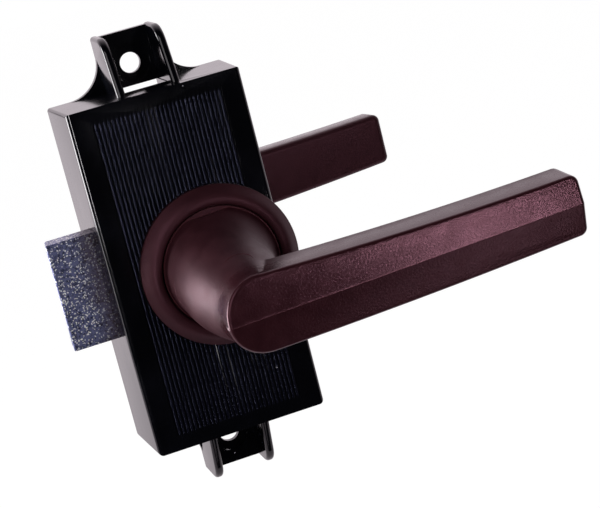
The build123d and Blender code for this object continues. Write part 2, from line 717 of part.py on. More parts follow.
def grip():
    """Grip of the lever from its root in the neck to its tip, with its back edges rounded."""
    near = FRONT_Y - GRIP_NEAR
    far = FRONT_Y - GRIP_FAR - 2 * GRIP_CREST
    lean = GRIP_LEAN * (near - far) / (GRIP_FAR - GRIP_NEAR)
    shape = loft([facing(near) * grip_outline(), facing(far) * grip_outline(lean)], ruled=True)
    back = shape.faces().sort_by(Axis.Y)[-1]
    edges = [edge for edge in back.edges() if edge.center().X > SPINDLE_X]
    shape = fillet(edges, GRIP_BACK_R) & behind_facets()
    return fillet(facet_rim(shape, SPINDLE_X - GRIP_END_BACK), GRIP_FACE_R)


def neck():
    """Full bell of the neck, which leans aside and down and closes to the grip's round end."""
    root_y = FLANGE_Y - FLANGE_T
    end_y = FRONT_Y - GRIP_FAR
    drop = GRIP_END_DROP + GRIP_LEAN
    aside = NECK_ASIDE
    low = NECK_ASIDE_DROP
    end_r = GRIP_END_R + FIT_GAP
    rings = (
        (0, NECK_ROOT_R, 0, 0),
        (NECK_BELL_AT, NECK_BELL_R, aside / 2, low / 2),
        (NECK_MID_AT, NECK_MID_R, aside, low),
        (NECK_PALM_AT, NECK_PALM_R, aside / 2, low / 2),
        (1, end_r, 0, 0),
        (1 + 2 * GRIP_CREST / (root_y - end_y), end_r, 0, 0),
    )
    sections = []
    for share, radius, out, down in rings:
        y = root_y + share * (end_y - root_y)
        x = SPINDLE_X - min(share, 1) * GRIP_END_BACK - out
        z = SPINDLE_Z - share * drop - down
        sections.append(facing(y) * Pos(x, z) * Circle(radius))
    middle = SPINDLE_X - GRIP_END_BACK
    cut_x = middle + 2 * GRIP_FACE_R
    front = end_y - 2 * GRIP_CREST
    inside = block(cut_x, cut_x + 2 * GRIP_END_R, front - CUT_PAST, end_y + 2 * GRIP_FACE_R, -CASE_H, CASE_H)
    return fillet(facet_rim(loft(sections) & behind_facets() - inside, cut_x), GRIP_FACE_R)


def crease_edges(shape):
    """Inner edges along which the grip's back and sides run into the neck."""
    front = FRONT_Y - GRIP_FAR + 1.5 * GRIP_CREST
    back = FRONT_Y - GRIP_NEAR + FIT_GAP
    centres = [(edge, edge.center()) for edge in shape.edges()]
    beside = [(edge, spot) for edge, spot in centres if SPINDLE_X < spot.X < SPINDLE_X + NECK_ROOT_R]
    return [edge for edge, spot in beside if front < spot.Y < back]


def front_lever():
    """Lever handle: base flange, spigot, bell-shaped neck and faceted grip in one moulding."""
    shape = grip() + neck()
    shape = fillet(crease_edges(shape), GRIP_CREASE_R)
    shape += rod(FLANGE_R, FLANGE_Y - FLANGE_T, FLANGE_Y)
    shape += rod(SPIGOT_R, FLANGE_Y, FRONT_Y - SLIDE_GAP)
    shape -= square_bar(SQUARE_CLEAR, SOCKET_END_Y, FRONT_Y)
    foot = SPINDLE_Z - SPINDLE_SQUARE / 2
    hole = Pos(SPINDLE_X, GRUB_Y, foot - NECK_ROOT_R / 2) * Cylinder(GRUB_R + FIT_GAP, NECK_ROOT_R)
    return shape - hole


def grub_screws():
    """Screw in the underside of each lever's neck, against the spindle."""
    foot = SPINDLE_Z - SPINDLE_SQUARE / 2
    front = Pos(SPINDLE_X, GRUB_Y, foot - GRUB_LENGTH / 2) * Cylinder(GRUB_R, GRUB_LENGTH)
    return [front, far_side(front)]


def nodes():
    """Every sub-part by name."""
    front_bush = hub_bush(FRONT_Y, INNER_Y, INNER_Y, INNER_Y + BUSH_FLANGE_T)
    rear_bush = hub_bush(PLATE_Y, 0, PLATE_Y - BUSH_FLANGE_T, PLATE_Y)
    return {
        "case_body": case_body(),
        "back_plate": back_plate(),
        "plate_screws": plate_screws(),
        "front_rose": front_rose(),
        "rear_rose": far_side(front_rose()),
        "rose_screws": rose_screws(),
        "lever_bushings": lever_bushings(),
        "front_hub_bush": front_bush,
        "rear_hub_bush": rear_bush,
        "follower_spacer": follower_spacer(),
        "stop_pins": stop_pins(),
        "bolt_guides": bolt_guides(),
        "bolt_spring": bolt_spring(),
        "spring_rod": spring_rod(),
        "lever_spring": lever_spring(),
        "spring_post": spring_post(),
        "front_lever": front_lever(),
        "rear_lever": far_side(front_lever()),
        "spindle": spindle(),
        "follower": follower(),
        "grub_screws": grub_screws(),
        "latch_bolt": latch_bolt(),
        "tail_plate": tail_plate(),
        "tail_rivets": tail_rivets(),
    }


os.makedirs("parts", exist_ok=True)
for name, shape in nodes().items():
    solids = shape if isinstance(shape, list) else [shape]
    solids = [solid for item in solids for solid in item.solids()]
    export_step(Compound(children=solids), f"parts/{name}.step")
print(f"bolt travel {BOLT_TRAVEL:.3f} mm over {FOLLOWER_ANGLE} degrees")
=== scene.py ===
"""Dressed model of a toilet door lock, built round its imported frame.

Lengths are metres in the part's own frame: +X runs from the spindle towards the lever tips, +Y goes into
the door and +Z is up. The origin is midway between the two fixing screws, on the case's door face.
"""
import json
import logging
import math
from dataclasses import dataclass
from enum import Enum

import bmesh
import bpy
from mathutils import Matrix, Vector
from mathutils.bvhtree import BVHTree


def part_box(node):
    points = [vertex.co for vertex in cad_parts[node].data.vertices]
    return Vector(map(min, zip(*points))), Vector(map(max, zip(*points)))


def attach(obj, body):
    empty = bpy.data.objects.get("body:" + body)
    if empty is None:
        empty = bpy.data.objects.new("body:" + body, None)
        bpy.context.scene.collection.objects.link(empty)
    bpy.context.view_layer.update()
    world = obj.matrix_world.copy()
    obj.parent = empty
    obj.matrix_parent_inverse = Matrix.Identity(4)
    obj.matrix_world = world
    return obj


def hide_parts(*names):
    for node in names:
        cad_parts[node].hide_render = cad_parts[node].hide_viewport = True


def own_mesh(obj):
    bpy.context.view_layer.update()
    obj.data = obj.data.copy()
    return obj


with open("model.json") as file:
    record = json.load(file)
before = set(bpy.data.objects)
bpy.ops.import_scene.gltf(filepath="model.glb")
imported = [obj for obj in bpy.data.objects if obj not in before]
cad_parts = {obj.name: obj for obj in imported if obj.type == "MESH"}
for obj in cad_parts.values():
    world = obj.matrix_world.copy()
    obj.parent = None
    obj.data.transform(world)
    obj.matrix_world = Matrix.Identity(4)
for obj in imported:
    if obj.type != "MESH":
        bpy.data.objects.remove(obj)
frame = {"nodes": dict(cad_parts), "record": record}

LOG = logging.getLogger("door_lock")
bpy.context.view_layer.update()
MM = 0.001
MERGE_GAP = 0.002 * MM
SLIVER = 0.001 * MM
FLAT_DEGREES = 0.4
SMOOTH_DEGREES = 24.0
EDGE_DEGREES = 32.0

Socket = bpy.types.NodeSocket
Piece = bpy.types.Object
Colour = tuple[float, float, float]
Point = tuple[float, float, float]


class Body(Enum):
    """Moving bodies of the lock."""

    CASE = "root"
    HANDLES = "handles"
    LATCH = "latch"


class Slot(Enum):
    """Material slots of the record."""

    CASE_BLACK = "case_black"
    HANDLE_BROWN = "handle_brown"
    BOLT = "bolt_sintered"
    PLATED = "plated_steel"
    BLACK_SCREW = "black_screw"
    SPRING = "spring_steel"
    NYLON = "nylon"
    BRASS = "bush_brass"
    ZINC = "cast_zinc"


class NodeTree:
    """Shorthand for adding and linking nodes in a shader or geometry tree."""

    def __init__(self, tree: bpy.types.NodeTree) -> None:
        """Takes over a node tree.

        Args:
            tree: The tree to add to.
        """
        self.tree = tree

    def add(self, kind: str, settings: dict | None = None, **inputs: object) -> bpy.types.Node:
        """Adds a node, sets its options and fills its inputs.

        Args:
            kind: Type name of the node.
            settings: Options of the node itself, such as its operation.
            inputs: Values or output sockets by input name, with underscores for spaces, or by i0, i1 and so on.

        Returns:
            The new node.
        """
        node = self.tree.nodes.new(kind)
        for key, value in (settings or {}).items():
            setattr(node, key, value)
        for key, value in inputs.items():
            place = int(key[1:]) if key[0] == "i" and key[1:].isdigit() else key.replace("_", " ")
            self.feed(node.inputs[place], value)
        return node

    def feed(self, socket: Socket, value: object) -> None:
        """Links an output socket to an input, or sets the input's value.

        Args:
            socket: The input.
            value: An output socket or a plain value.
        """
        if isinstance(value, Socket):
            self.tree.links.new(value, socket)
        else:
            socket.default_value = value

    def place(self) -> Socket:
        """Gives the object's own coordinates."""
        return self.add("ShaderNodeTexCoord").outputs["Object"]

    def vector(self, **parts: object) -> Socket:
        """Joins X, Y and Z values or sockets into one vector, 0 where none is given."""
        return self.add("ShaderNodeCombineXYZ", **parts).outputs[0]

    def part(self, vector: object, axis: str) -> Socket:
        """Takes the X, Y or Z part of a vector."""
        return self.add("ShaderNodeSeparateXYZ", Vector=vector).outputs[axis]

    def noise(self, vector: object, scale: object, detail: float, roughness: float = 0.5) -> Socket:
        """Adds a noise texture and gives its value."""
        node = self.add("ShaderNodeTexNoise", Vector=vector, Scale=scale, Detail=detail, Roughness=roughness)
        return node.outputs[0]

    def dot(self, first: object, second: object) -> Socket:
        """Adds the dot product of two vectors."""
        node = self.add("ShaderNodeVectorMath", {"operation": "DOT_PRODUCT"}, i0=first, i1=second)
        return node.outputs["Value"]

    def math(self, operation: str, first: object, second: object = 0.0) -> Socket:
        """Adds a Math node.

        Args:
            operation: Name of the operation.
            first: First value or socket.
            second: Second value or socket.

        Returns:
            The output socket.
        """
        return self.add("ShaderNodeMath", {"operation": operation}, i0=first, i1=second).outputs[0]

    def ramp(self, value: object, low: float, high: float, to_low: float = 0.0, to_high: float = 1.0) -> Socket:
        """Adds a smooth Map Range node.

        Args:
            value: Value or socket to map.
            low: Value that gives to_low.
            high: Value that gives to_high.
            to_low: Result at the low end.
            to_high: Result at the high end.

        Returns:
            The output socket.
        """
        node = self.add("ShaderNodeMapRange", {"interpolation_type": "SMOOTHSTEP"}, Value=value)
        for name, number in (("From Min", low), ("From Max", high), ("To Min", to_low), ("To Max", to_high)):
            node.inputs[name].default_value = number
        return node.outputs["Result"]

    def blend(self, factor: object, first: object, second: object) -> Socket:
        """Adds a colour mix.

        Args:
            factor: Share of the second colour.
            first: First colour or socket.
            second: Second colour or socket.

        Returns:
            The colour socket.
        """
        colours = {"A": _rgba(first), "B": _rgba(second)}
        return self.add("ShaderNodeMix", {"data_type": "RGBA"}, Factor=factor, **colours).outputs["Result"]


def _rgba(value: object) -> object:
    """Gives a plain colour its fourth number and leaves sockets alone."""
    if isinstance(value, tuple) and len(value) == 3:
        return (*value, 1.0)
    return value


def new_group(name: str, inputs: dict[str, float], *outputs: str) -> tuple[NodeTree, dict, bpy.types.Node]:
    """Starts a shader node group with named sockets.

    Args:
        name: Name of the group.
        inputs: Default value by input name.
        outputs: Names of the outputs, which are plain numbers.

    Returns:
        The tree, the input sockets by name, and the output node.
    """
    group = bpy.data.node_groups.new(name, "ShaderNodeTree")
    for socket_name, value in inputs.items():
        socket = group.interface.new_socket(socket_name, in_out="INPUT", socket_type="NodeSocketFloat")
        socket.default_value = value
    for socket_name in outputs:
        group.interface.new_socket(socket_name, in_out="OUTPUT", socket_type="NodeSocketFloat")
    tree = NodeTree(group)
    start = tree.add("NodeGroupInput")
    end = tree.add("NodeGroupOutput")
    return tree, {socket_name: start.outputs[socket_name] for socket_name in inputs}, end


class SurfaceEffects:
    """Shader node groups that several finishes share."""

    def __init__(self) -> None:
        """Builds every group once."""
        self.grain = self._build_grain()
        self.specks = self._build_specks()
        self.edges = self._build_edges()
        self.scratches = self._build_scratches()

    def _build_grain(self) -> bpy.types.NodeTree:
        """Builds the fine grain and slow cloudiness of moulded or cast surfaces.

        Returns:
            The group, with Height and Cloud outputs.
        """
        sizes = {"Grain Scale": 1500.0, "Cloud Scale": 60.0}
        tree, given, end = new_group("moulded_grain", sizes, "Height", "Cloud")
        place = tree.place()
        tree.feed(end.inputs["Height"], tree.noise(place, given["Grain Scale"], 3.0, 0.6))
        tree.feed(end.inputs["Cloud"], tree.noise(place, given["Cloud Scale"], 4.0, 0.55))
        return tree.tree

    def _build_specks(self) -> bpy.types.NodeTree:
        """Builds scattered dust specks.

        Returns:
            The group, with a Mask output.
        """
        sizes = {"Scale": 500.0, "Amount": 0.04, "Size": 0.12}
        tree, given, end = new_group("dust_specks", sizes, "Mask")
        place = tree.place()
        cells = tree.add("ShaderNodeTexVoronoi", {"feature": "F1"}, Vector=place, Scale=given["Scale"])
        chance = tree.add("ShaderNodeSeparateColor", Color=cells.outputs["Color"]).outputs[0]
        chosen = tree.math("LESS_THAN", chance, given["Amount"])
        dot = tree.math("LESS_THAN", cells.outputs["Distance"], given["Size"])
        tree.feed(end.inputs["Mask"], tree.math("MULTIPLY", chosen, dot))
        return tree.tree

    def _build_edges(self) -> bpy.types.NodeTree:
        """Builds a mask of edges from the difference between the true and the rounded normal, for rubbed edges
        on the screws and a painted edge highlight on the handles.

        Returns:
            The group, with a Mask output.
        """
        sizes = {"Radius": 0.6 * MM, "Break Scale": 300.0}
        # Edge mask: real rubbing on the grub screws, painted highlight on the handles.
        tree, given, end = new_group("worn_and_lit_edges", sizes, "Mask")
        rounded = tree.add("ShaderNodeBevel", {"samples": 4}, Radius=given["Radius"]).outputs[0]
        normal = tree.add("ShaderNodeNewGeometry").outputs["Normal"]
        edge = tree.ramp(tree.dot(rounded, normal), 0.995, 0.86)
        broken = tree.ramp(tree.noise(tree.place(), given["Break Scale"], 2.0), 0.25, 0.6, 0.35, 1.0)
        tree.feed(end.inputs["Mask"], tree.math("MULTIPLY", edge, broken))
        return tree.tree

    def _build_scratches(self) -> bpy.types.NodeTree:
        """Builds fine drawn lines for rolled and plated metal.

        Returns:
            The group, with a Mask output.
        """
        sizes = {"Scale": 160.0, "Stretch": 14.0}
        tree, given, end = new_group("drawn_lines", sizes, "Mask")
        stretch = tree.vector(X=given["Stretch"], Y=given["Stretch"], Z=1.0)
        long = tree.add("ShaderNodeVectorMath", {"operation": "MULTIPLY"}, i0=tree.place(), i1=stretch)
        tree.feed(end.inputs["Mask"], tree.noise(long.outputs[0], given["Scale"], 5.0, 0.7))
        return tree.tree


class Finish(NodeTree):
    """One material, made once and shared by the pieces that have it."""

    slot: Slot
    name: str

    def __init__(self, effects: SurfaceEffects) -> None:
        """Makes the material.

        Args:
            effects: The shared node groups.
        """
        self.material = bpy.data.materials.new(self.name)
        self.material.use_nodes = True
        super().__init__(self.material.node_tree)
        self.shader = self.tree.nodes["Principled BSDF"]
        self.effects = effects
        self.dress()

    def dress(self) -> None:
        """Adds the nodes of the finish; each finish has its own."""
        raise NotImplementedError

    def effect(self, group: bpy.types.NodeTree, **inputs: object) -> bpy.types.Node:
        """Places a shared node group in the material.

        Args:
            group: The group.
            inputs: Its input values by name, with underscores for spaces.

        Returns:
            The group node.
        """
        return self.add("ShaderNodeGroup", {"node_tree": group}, **inputs)

    def grain(self, fine: float, slow: float) -> tuple[Socket, Socket]:
        """Places the shared grain at two scales and gives its height and its cloud."""
        node = self.effect(self.effects.grain, Grain_Scale=fine, Cloud_Scale=slow)
        return node.outputs["Height"], node.outputs["Cloud"]

    def set(self, **values: object) -> None:
        """Feeds the Principled shader's inputs by name, with underscores for spaces."""
        for key, value in values.items():
            self.feed(self.shader.inputs[key.replace("_", " ")], _rgba(value))

    def bump(self, height: object, depth: float, strength: float) -> None:
        """Adds a bump from a height socket.

        Args:
            height: Height between 0 and 1.
            depth: Real depth of the full height in metres.
            strength: Share of the effect.
        """
        node = self.add("ShaderNodeBump", Height=height, Distance=depth, Strength=strength)
        self.set(Normal=node.outputs[0])


class HandlePlastic(Finish):
    """Satin maroon-brown moulded plastic of the levers and roses, smoother on the grips."""

    slot = Slot.HANDLE_BROWN
    name = "handle_plastic"
    BROWN: Colour = (0.0350, 0.0095, 0.0130)
    DEEP: Colour = (0.0275, 0.0072, 0.0100)
    SHEEN: Colour = (1.0, 0.45, 0.60)
    # Painted highlight: a lighter, redder brown along thin edges, where they catch the light.
    PAINTED_EDGE_HIGHLIGHT: Colour = (0.110, 0.026, 0.028)
    EDGE_HIGHLIGHT_SHARE = 0.45
    PALE_DUST: Colour = (0.42, 0.32, 0.34)
    MIDDLE_Y = 20.5 * MM
    GRIP_STARTS = (83.0 * MM, 94.0 * MM)
    GRIP_POLISH = 0.25
    GLOSS = (0.42, 0.50)

    def dress(self) -> None:
        """Adds slow clouding, a painted highlight in a redder brown along thin edges, a fine grain and a little
        dust.
        """
        grain, cloud = self.grain(1700.0, 190.0)
        edges = self.effect(self.effects.edges, Radius=0.9 * MM, Break_Scale=420.0).outputs["Mask"]
        dust = self.effect(self.effects.specks, Scale=420.0, Amount=0.012, Size=0.07).outputs["Mask"]
        colour = self.blend(self.ramp(cloud, 0.32, 0.68), self.DEEP, self.BROWN)
        # Painted edge highlight, blended in along the edge mask.
        colour = self.blend(self.math("MULTIPLY", edges, self.EDGE_HIGHLIGHT_SHARE), colour, self.PAINTED_EDGE_HIGHLIGHT)
        colour = self.blend(dust, colour, self.PALE_DUST)
        depth = self.part(self.place(), "Y")
        front = self.math("SUBTRACT", self.MIDDLE_Y, depth)
        away = self.math("MAXIMUM", front, self.math("SUBTRACT", depth, self.MIDDLE_Y))
        polish = self.math("MULTIPLY", self.ramp(away, *self.GRIP_STARTS), self.GRIP_POLISH)
        gloss = self.ramp(cloud, 0.3, 0.7, *self.GLOSS)
        self.set(Base_Color=colour, Roughness=self.math("SUBTRACT", gloss, polish))
        self.set(Specular_IOR_Level=0.42, Specular_Tint=self.SHEEN)
        self.bump(grain, depth=0.09 * MM, strength=0.6)


class CasePlastic(Finish):
    """Glossy black moulded plastic of the case."""

    slot = Slot.CASE_BLACK
    name = "case_plastic"
    BLACK: Colour = (0.0012, 0.0014, 0.0026)
    HAZE: Colour = (0.0024, 0.0026, 0.0050)
    PALE_DUST: Colour = (0.62, 0.60, 0.68)
    SHEEN: Colour = (1.0, 0.96, 1.0)
    GRAIN_SCALE = 420.0
    GRAIN_DEPTH = 0.02 * MM
    GLOSS = (0.10, 0.17)

    def dress(self) -> None:
        """Adds faint haze, a slight moulding ripple and dust specks on a glossy black."""
        grain, cloud = self.grain(self.GRAIN_SCALE, 38.0)
        dust = self.effect(self.effects.specks, Scale=330.0, Amount=0.030, Size=0.07).outputs["Mask"]
        colour = self.blend(self.ramp(cloud, 0.42, 0.74), self.BLACK, self.HAZE)
        colour = self.blend(dust, colour, self.PALE_DUST)
        self.set(Base_Color=colour, Roughness=self.ramp(cloud, 0.35, 0.7, *self.GLOSS))
        self.set(Specular_IOR_Level=0.5, Specular_Tint=self.SHEEN)
        self.bump(grain, depth=self.GRAIN_DEPTH, strength=0.4)


class RibPlastic(CasePlastic):
    """The case's plastic on the fine ribs, which glint blue and violet."""

    name = "rib_plastic"
    BLACK: Colour = (0.0022, 0.0024, 0.0060)
    HAZE: Colour = (0.0050, 0.0050, 0.0130)
    SHEEN: Colour = (0.60, 0.62, 1.0)
    GRAIN_SCALE = 2300.0
    GRAIN_DEPTH = 0.22 * MM
    GLOSS = (0.14, 0.24)


class SinteredMetal(Finish):
    """Granular blue-grey metal of the bolt, with a painted shadow of the case: darker and browner beside the
    case.
    """

    slot = Slot.BOLT
    name = "sintered_metal"
    GREY: Colour = (0.185, 0.200, 0.385)
    DARK: Colour = (0.035, 0.038, 0.080)
    BRIGHT: Colour = (1.0, 1.0, 1.0)
    # Painted shade: the shadow that the case casts on the bolt beside it, painted as a darker brown band.
    PAINTED_CASE_SHADE: Colour = (0.075, 0.048, 0.048)
    CASE_SHADE_SPAN = (-37.5 * MM, -29.5 * MM)
    CASE_SHADE_RAGGED = 1.0 * MM
    CASE_SHADE_SHARE = 0.72
    BRIGHT_ABOVE = 0.86
    BRIGHT_IN_CASE_SHADE = 0.25

    def dress(self) -> None:
        """Adds dark pores, bright grains and a painted shadow band beside the case, with fewer bright grains in
        it.
        """
        place = self.place()
        grains = self.add("ShaderNodeTexVoronoi", {"feature": "F1"}, Vector=place, Scale=2700.0)
        chance = self.add("ShaderNodeSeparateColor", Color=grains.outputs["Color"])
        pores = self.noise(place, 1250.0, 3.0, 0.7)
        slow = self.noise(place, 110.0, 3.0)
        # Painted shadow of the case, ragged at its edge, darkening the colour and dimming the bright grains
        # inside it.
        shift = self.ramp(slow, 0.3, 0.7, -self.CASE_SHADE_RAGGED, self.CASE_SHADE_RAGGED)
        case_shade = self.ramp(self.math("ADD", self.part(place, "X"), shift), *self.CASE_SHADE_SPAN)
        colour = self.blend(self.ramp(pores, 0.34, 0.56), self.DARK, self.GREY)
        bright = self.math("GREATER_THAN", chance.outputs[0], self.BRIGHT_ABOVE)
        bright = self.math("MULTIPLY", bright, self.ramp(case_shade, 0.0, 1.0, 1.0, self.BRIGHT_IN_CASE_SHADE))
        colour = self.blend(self.math("MULTIPLY", case_shade, self.CASE_SHADE_SHARE), colour, self.PAINTED_CASE_SHADE)
        colour = self.blend(bright, colour, self.BRIGHT)
        self.set(Base_Color=colour, Metallic=0.82)
        self.set(Roughness=self.ramp(chance.outputs[1], 0.0, 1.0, 0.28, 0.58))
        height = self.math("ADD", pores, self.math("MULTIPLY", chance.outputs[2], 0.5))
        self.bump(height, depth=0.06 * MM, strength=0.8)


class PlatedSteel(Finish):
    """Zinc-plated sheet and bar with fine drawn lines."""

    slot = Slot.PLATED
    name = "plated_steel"
    ZINC: Colour = (0.56, 0.56, 0.55)
    YELLOWED: Colour = (0.46, 0.43, 0.36)

    def dress(self) -> None:
        """Adds drawn lines and slow colour change."""
        lines = self.effect(self.effects.scratches, Scale=150.0, Stretch=12.0).outputs["Mask"]
        _, cloud = self.grain(900.0, 70.0)
        colour = self.blend(self.ramp(cloud, 0.35, 0.7), self.ZINC, self.YELLOWED)
        self.set(Base_Color=colour, Metallic=0.95, Roughness=self.ramp(lines, 0.3, 0.7, 0.26, 0.46))
        self.bump(lines, depth=0.02 * MM, strength=0.5)


class SpringWire(Finish):
    """Drawn spring wire with a dull blue-grey skin."""

    slot = Slot.SPRING
    name = "spring_wire"
    SKIN: Colour = (0.30, 0.30, 0.33)
    WORN: Colour = (0.52, 0.51, 0.50)

    def dress(self) -> None:
        """Adds worn patches on a drawn skin."""
        grain, cloud = self.grain(2600.0, 240.0)
        worn = self.ramp(cloud, 0.45, 0.7)
        self.set(Base_Color=self.blend(worn, self.SKIN, self.WORN), Metallic=1.0)
        self.set(Roughness=self.ramp(grain, 0.3, 0.7, 0.26, 0.42))
        self.bump(grain, depth=0.01 * MM, strength=0.4)


class Nylon(Finish):
    """Natural nylon of the bushings and guides."""

    slot = Slot.NYLON
    name = "nylon"
    CREAM: Colour = (0.74, 0.72, 0.64)
    SHADE: Colour = (0.62, 0.59, 0.50)

    def dress(self) -> None:
        """Adds cloudy cream and a fine grain."""
        grain, cloud = self.grain(1800.0, 150.0)
        cloud = self.ramp(cloud, 0.3, 0.7)
        self.set(Base_Color=self.blend(cloud, self.SHADE, self.CREAM), Subsurface_Weight=0.12)
        self.set(Roughness=self.ramp(cloud, 0.0, 1.0, 0.38, 0.5), Subsurface_Scale=1.0 * MM)
        self.bump(grain, depth=0.02 * MM, strength=0.4)


class TurnedBrass(Finish):
    """Turned brass of the follower's bearings."""

    slot = Slot.BRASS
    name = "turned_brass"
    BRASS: Colour = (0.62, 0.43, 0.17)
    DULL: Colour = (0.40, 0.27, 0.12)

    def dress(self) -> None:
        """Adds dull patches and fine lathe lines."""
        lines = self.effect(self.effects.scratches, Scale=260.0, Stretch=5.0).outputs["Mask"]
        _, cloud = self.grain(900.0, 170.0)
        dull = self.ramp(cloud, 0.45, 0.75)
        self.set(Base_Color=self.blend(dull, self.BRASS, self.DULL), Metallic=1.0)
        self.set(Roughness=self.ramp(lines, 0.3, 0.7, 0.24, 0.4))
        self.bump(lines, depth=0.01 * MM, strength=0.5)


class CastZinc(Finish):
    """Matt grey die-cast zinc of the follower."""

    slot = Slot.ZINC
    name = "cast_zinc"
    GREY: Colour = (0.36, 0.36, 0.38)
    SKIN: Colour = (0.25, 0.25, 0.27)

    def dress(self) -> None:
        """Adds a cast grain and slow grey clouds."""
        grain, cloud = self.grain(1100.0, 120.0)
        cloud = self.ramp(cloud, 0.3, 0.7)
        self.set(Base_Color=self.blend(cloud, self.SKIN, self.GREY), Metallic=0.9)
        self.set(Roughness=self.ramp(cloud, 0.0, 1.0, 0.5, 0.64))
        self.bump(grain, depth=0.04 * MM, strength=0.6)


class BlackOxide(Finish):
    """Black oxide steel of the grub screws."""

    slot = Slot.BLACK_SCREW
    name = "black_oxide"
    SKIN: Colour = (0.022, 0.022, 0.025)
    RUBBED: Colour = (0.20, 0.20, 0.21)

    def dress(self) -> None:
        """Adds rubbed edges on an oily black skin."""
        grain, cloud = self.grain(1500.0, 300.0)
        edges = self.effect(self.effects.edges, Radius=0.2 * MM, Break_Scale=900.0).outputs["Mask"]
        self.set(Base_Color=self.blend(edges, self.SKIN, self.RUBBED), Metallic=0.85)
        self.set(Roughness=self.ramp(cloud, 0.3, 0.7, 0.3, 0.44))
        self.bump(grain, depth=0.01 * MM, strength=0.4)


FINISHES = (
    HandlePlastic,
    CasePlastic,
    SinteredMetal,
    PlatedSteel,
    SpringWire,
    Nylon,
    TurnedBrass,
    CastZinc,
    BlackOxide,
)


def smooth_by_angle(mesh: bpy.types.Mesh, degrees: float) -> None:
    """Shades a mesh smooth except across its sharp edges.

    Args:
        mesh: The mesh.
        degrees: Edges that turn more than this stay sharp.
    """
    mesh.shade_smooth()
    mesh.set_sharp_from_angle(angle=math.radians(degrees))


def merged_copy(node: str, name: str) -> Piece:
    """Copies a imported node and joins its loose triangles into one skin.

    Args:
        node: Name of the node.
        name: Name of the new piece.

    Returns:
        The new object, at the origin like the node.
    """
    mesh = frame["nodes"][node].data.copy()
    mesh.name = name
    skin = bmesh.new()
    skin.from_mesh(mesh)
    bmesh.ops.remove_doubles(skin, verts=skin.verts, dist=MERGE_GAP)
    bmesh.ops.dissolve_degenerate(skin, edges=skin.edges, dist=SLIVER)
    bmesh.ops.dissolve_limit(skin, angle_limit=math.radians(FLAT_DEGREES), verts=skin.verts, edges=skin.edges)
    skin.to_mesh(mesh)
    skin.free()
    return new_piece(name, mesh)


def new_piece(name: str, shape: bpy.types.ID) -> Piece:
    """Puts a mesh or curve into the scene as an object at the origin.

    Args:
        name: Name of the piece.
        shape: Its mesh or curve.

    Returns:
        The new object.
    """
    piece = bpy.data.objects.new(name, shape)
    bpy.context.scene.collection.objects.link(piece)
    return piece


def baked_piece(source: Piece, name: str, degrees: float) -> Piece:
    """Makes a plain mesh of an object with modifiers or of a curve.

    Args:
        source: The object, which is removed.
        name: Name of the new piece.
        degrees: Edges that turn more than this stay sharp.

    Returns:
        The piece, at the origin.
    """
    mesh = bpy.data.meshes.new_from_object(source.evaluated_get(bpy.context.evaluated_depsgraph_get()))
    bpy.data.objects.remove(source)
    mesh.name = name
    smooth_by_angle(mesh, degrees)
    return new_piece(name, mesh)


def round_edges(piece: Piece, width: float, degrees: float = EDGE_DEGREES, segments: int = 2) -> None:
    """Rounds a piece's sharp edges with live modifiers.

    Args:
        piece: The piece.
        width: Width of the rounding in metres.
        degrees: Edges that turn more than this are rounded.
        segments: Steps in each rounding.
    """
    bevel = piece.modifiers.new("rounded_edges", "BEVEL")
    bevel.width = width
    bevel.segments = segments
    bevel.limit_method = "ANGLE"
    bevel.angle_limit = math.radians(degrees)
    bevel.harden_normals = True


def finish_piece(piece: Piece, finish: Finish, body: Body, *nodes: str) -> None:
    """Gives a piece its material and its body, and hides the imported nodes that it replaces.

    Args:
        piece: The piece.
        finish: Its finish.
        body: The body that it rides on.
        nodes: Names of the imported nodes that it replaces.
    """
    piece.data.materials.clear()
    piece.data.materials.append(finish.material)
    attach(piece, body.value)
    if nodes:
        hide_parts(*nodes)
    LOG.info("%s rides on %s, %d faces", piece.name, body.value, len(piece.data.polygons))


@dataclass(frozen=True)
class Rounding:
    """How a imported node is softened: shaded smooth below one angle, its edges rounded above another."""

    width: float
    smooth_degrees: float = SMOOTH_DEGREES
    edge_degrees: float = EDGE_DEGREES
    segments: int = 2


def dressed_copy(node: str, name: str, finish: Finish, body: Body, rounding: Rounding) -> Piece:
    """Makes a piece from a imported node, with soft edges and its finish.

    Args:
        node: Name of the node that the piece stands for.
        name: Name of the piece.
        finish: Its finish.
        body: The body that it rides on.
        rounding: How its edges are softened.

    Returns:
        The piece.
    """
    piece = merged_copy(node, name)
    smooth_by_angle(piece.data, rounding.smooth_degrees)
    round_edges(piece, rounding.width, rounding.edge_degrees, rounding.segments)
    finish_piece(piece, finish, body, node)
    return piece


